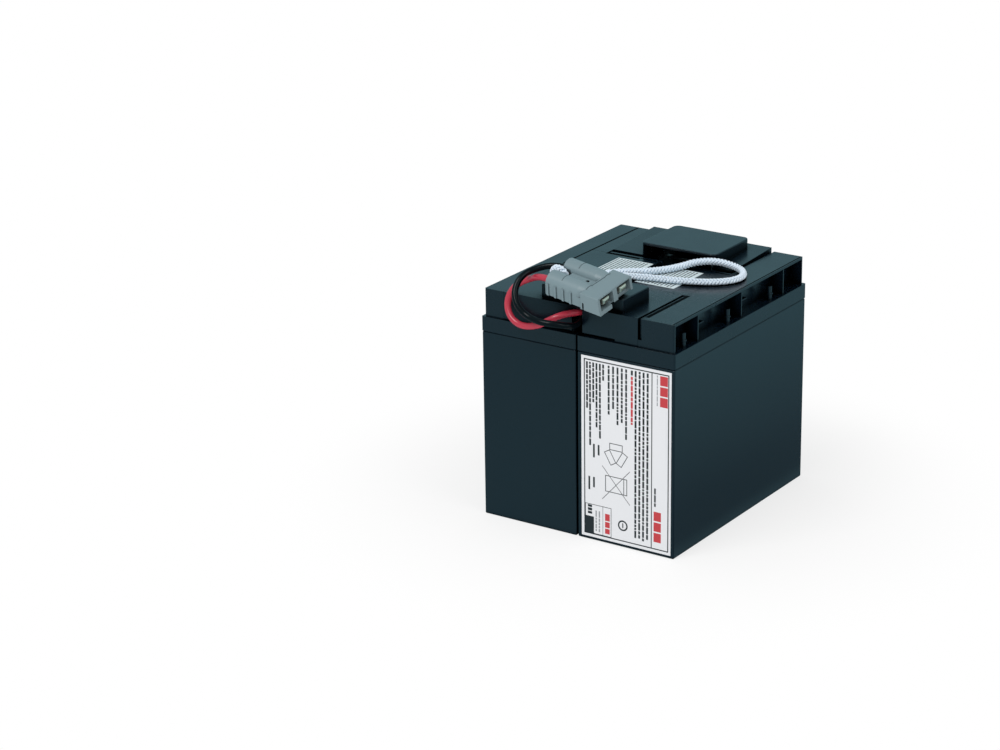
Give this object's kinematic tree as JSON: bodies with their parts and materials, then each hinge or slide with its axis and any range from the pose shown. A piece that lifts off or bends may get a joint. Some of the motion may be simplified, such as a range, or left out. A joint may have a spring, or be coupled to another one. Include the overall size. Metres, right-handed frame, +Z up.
{
  "type": "ups battery cartridge",
  "caption": "Replacement battery cartridge for a UPS: two sealed lead-acid batteries side by side with terminal covers, a two-pole connector on flying leads and a rope pull loop.",
  "frame": {"origin": "on the floor plane, under the middle of the two batteries taken together", "axes": "+X across the two batteries, from the left one to the right one as seen from the label side; +Y from the front (label and connector side) to the back; +Z up, out of the lids"},
  "size_m": [0.155, 0.2023, 0.1968],
  "materials": {
    "battery_case": "fine-textured ABS, satin sheen",
    "lid": "fine-textured ABS, satin sheen",
    "terminal_cover": "smooth ABS, satin",
    "plate_group": "dark grey lead plates with white separators",
    "lead_strap": "cast lead, dull grey",
    "rubber_cap": "soft black rubber",
    "terminal_lead": "cast lead alloy, dull grey",
    "zinc_steel": "bright zinc-plated steel",
    "tinned_copper": "tinned copper, satin",
    "connector_plastic": "smooth grey polycarbonate, light sheen",
    "silver_contact": "silver-plated copper, bright",
    "spring_steel": "bare spring steel",
    "black_wire": "smooth glossy black insulation",
    "red_wire": "smooth glossy red insulation",
    "rope": "braided pale lilac-white cord",
    "label": "white gloss-laminated label stock",
    "foam_tape": "black double-sided foam tape"
  },
  "bodies": {
    "root": {"left_container": "battery_case", "left_lid": "lid", "left_valve_bay_cover": "terminal_cover", "left_plate_groups": "plate_group", "left_cell_straps": "lead_strap", "left_valve_caps": "rubber_cap", "left_front_terminal": "terminal_lead", "left_rear_terminal": "terminal_lead", "left_top_label": "label", "right_container": "battery_case", "right_lid": "lid", "right_valve_bay_cover": "terminal_cover", "right_plate_groups": "plate_group", "right_cell_straps": "lead_strap", "right_valve_caps": "rubber_cap", "right_front_terminal": "terminal_lead", "right_rear_terminal": "terminal_lead", "right_top_label": "label", "terminal_bolts": "zinc_steel", "terminal_washers": "zinc_steel", "lead_lugs": "tinned_copper", "series_link": "tinned_copper", "front_terminal_cover": "terminal_cover", "rear_terminal_cover": "terminal_cover", "adhesive_pads": "foam_tape", "front_label": "label", "connector_housing": "connector_plastic", "connector_contacts": "silver_contact", "connector_springs": "spring_steel", "black_lead": "black_wire", "red_lead": "red_wire", "pull_rope": "rope", "rope_knot": "rope"}
  },
  "joints": []
}
